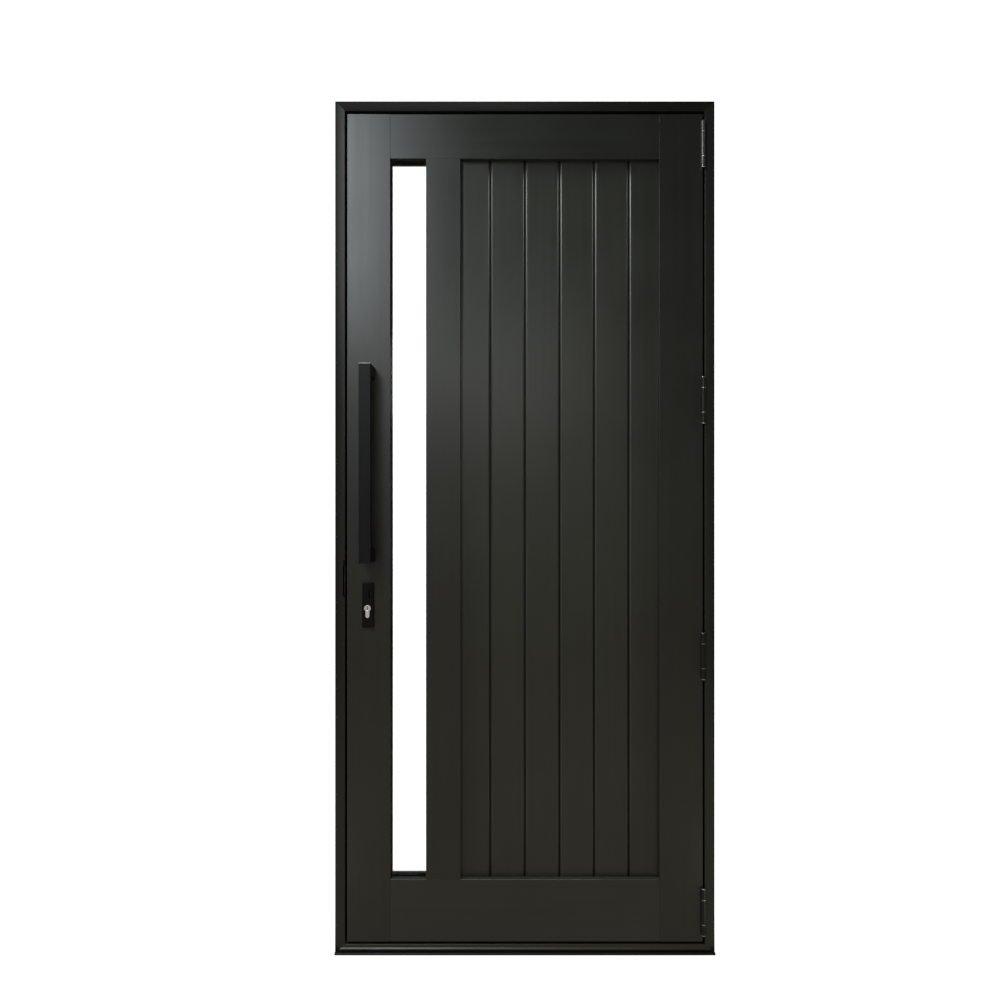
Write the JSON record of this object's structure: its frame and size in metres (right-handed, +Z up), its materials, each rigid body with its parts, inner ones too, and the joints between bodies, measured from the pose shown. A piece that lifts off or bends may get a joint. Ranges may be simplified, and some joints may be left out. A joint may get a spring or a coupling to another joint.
{
  "type": "glass entrance door with frame",
  "caption": "Outward opening aluminium entrance door in its frame, with a narrow full-height glass strip, V-jointed boards, a long square pull handle and a profile cylinder lock.",
  "frame": {"origin": "under the middle of the sill, halfway through the frame's depth", "axes": "+X towards the hinges, +Y from outside to inside, +Z up"},
  "size_m": [0.984, 0.194, 2.209],
  "materials": {
    "coated_frame": "dark satin powder coat on extruded aluminium",
    "coated_leaf": "dark satin powder coat on extruded aluminium",
    "coated_board": "dark satin powder coat on extruded aluminium",
    "coated_hinge": "dark satin powder coat on steel",
    "mill_aluminium": "mill finish",
    "spacer_black": "extruded warm-edge spacer, black",
    "rubber": "matte extruded rubber",
    "brush": "woven brush pile",
    "block": "moulded",
    "black_metal": "satin black",
    "handle_black": "satin black powder coat on aluminium bar",
    "steel": "satin stainless",
    "zinc_steel": "zinc plated",
    "satin_chrome": "satin chrome plate",
    "clear_glass": "clear float glass",
    "etched_glass": "acid etched glass",
    "nylon": "moulded nylon"
  },
  "bodies": {
    "frame": {"frame_head": "coated_frame", "frame_jamb_lock": "coated_frame", "frame_jamb_hinge": "coated_frame", "frame_sill": "coated_frame", "sub_sill": "coated_frame", "corner_cleats": "mill_aluminium", "weather_seal": "rubber", "strike_plate": "black_metal", "strike_screws": "black_metal", "hinge_1_frame_leaf": "coated_hinge", "hinge_2_frame_leaf": "coated_hinge", "hinge_3_frame_leaf": "coated_hinge", "hinge_4_frame_leaf": "coated_hinge", "hinge_pins": "steel", "hinge_washers": "steel", "hinge_frame_screws": "steel"},
    "leaf": {"lock_stile": "coated_leaf", "hinge_stile": "coated_leaf", "mid_stile": "coated_leaf", "top_rail": "coated_leaf", "bottom_rail": "coated_leaf", "rail_blocks": "mill_aluminium", "board_1": "coated_board", "board_2": "coated_board", "board_3": "coated_board", "board_4": "coated_board", "board_5": "coated_board", "board_6": "coated_board", "panel_tape": "rubber", "panel_beads": "coated_leaf", "glass_outer_pane": "clear_glass", "glass_spacer": "spacer_black", "glass_inner_pane": "etched_glass", "glazing_gasket_outer": "rubber", "glazing_gasket_inner": "rubber", "glazing_beads": "coated_leaf", "setting_blocks": "block", "pull_handle_outside": "handle_black", "pull_handle_inside": "handle_black", "handle_bolts": "steel", "lock_plate_outside": "black_metal", "lock_plate_inside": "black_metal", "lock_plate_screws": "black_metal", "lock_case": "zinc_steel", "lock_faceplate": "steel", "faceplate_screws": "steel", "cylinder_body": "satin_chrome", "cylinder_screw": "steel", "hinge_1_door_leaf": "coated_hinge", "hinge_2_door_leaf": "coated_hinge", "hinge_3_door_leaf": "coated_hinge", "hinge_4_door_leaf": "coated_hinge", "hinge_door_screws": "steel", "bottom_seal": "brush"},
    "deadbolt": {"deadbolt": "steel"},
    "thumbturn": {"thumbturn": "satin_chrome"},
    "key_plug": {"key_plug": "satin_chrome"},
    "roller_carriage": {"roller_carriage": "zinc_steel"},
    "roller": {"roller": "nylon"}
  },
  "joints": [
    {"name": "leaf_swing", "type": "hinge", "parent": "frame", "child": "leaf", "pos_m": [0.46025, -0.056, 0.033], "axis": [0, 0, 1], "range_deg": [0, 170]},
    {"name": "deadbolt_throw", "type": "slide", "parent": "leaf", "child": "deadbolt", "axis": [-1, 0, 0], "range_m": [0, 0.02]},
    {"name": "thumbturn_turn", "type": "hinge", "parent": "leaf", "child": "thumbturn", "pos_m": [-0.405, 0.02, 0.897], "axis": [0, 1, 0], "range_deg": [0, 360]},
    {"name": "key_plug_turn", "type": "hinge", "parent": "leaf", "child": "key_plug", "pos_m": [-0.405, -0.055, 0.897], "axis": [0, 1, 0], "range_deg": [0, 360]},
    {"name": "roller_push", "type": "slide", "parent": "leaf", "child": "roller_carriage", "axis": [1, 0, 0], "range_m": [0, 0.008], "stiffness_N_per_m": 2500, "springref_m": -0.004},
    {"name": "roller_spin", "type": "hinge", "parent": "roller_carriage", "child": "roller", "pos_m": [-0.4555, -0.025, 0.972], "axis": [0, 0, 1], "continuous": true}
  ],
  "couplings": [
    {"joint": "thumbturn_turn", "follows": "deadbolt_throw", "rad_per_m": 314.16},
    {"joint": "key_plug_turn", "follows": "deadbolt_throw", "rad_per_m": 314.16}
  ]
}
